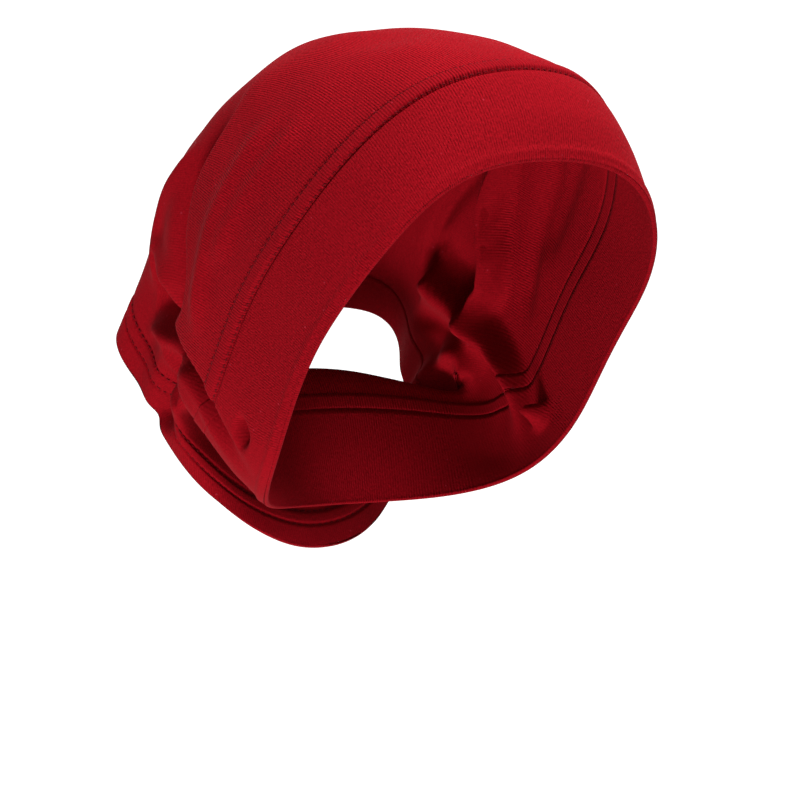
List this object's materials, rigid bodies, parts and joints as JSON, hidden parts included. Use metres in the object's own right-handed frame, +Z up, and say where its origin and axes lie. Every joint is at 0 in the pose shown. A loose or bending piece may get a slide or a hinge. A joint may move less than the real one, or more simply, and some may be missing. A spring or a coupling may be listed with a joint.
{
  "type": "hijab underscarf cap",
  "caption": "Jersey underscarf cap as worn: folded face band, raised seam strip, soft crown tube bunched at the nape, and a turned hem round an open rear mouth.",
  "frame": {"origin": "inside of the crown's top, where the top of the head touches it", "axes": "+Z up, the face opening looks along -Y, the rear mouth looks along +Y and down, the wearer's right is -X"},
  "size_m": [0.1622, 0.2054, 0.2064],
  "materials": {
    "band_jersey": "fine double jersey of combed cotton, dark red, soft and matte",
    "seam_jersey": "raised coverstitched jersey strip, dark red",
    "crown_jersey": "fine single jersey of combed cotton, dark red, soft and matte",
    "hem_jersey": "turned jersey hem, dark red, twin stitched"
  },
  "bodies": {
    "root": {"front_band": "band_jersey", "band_seam": "seam_jersey", "crown": "crown_jersey", "rear_hem": "hem_jersey"}
  },
  "joints": []
}
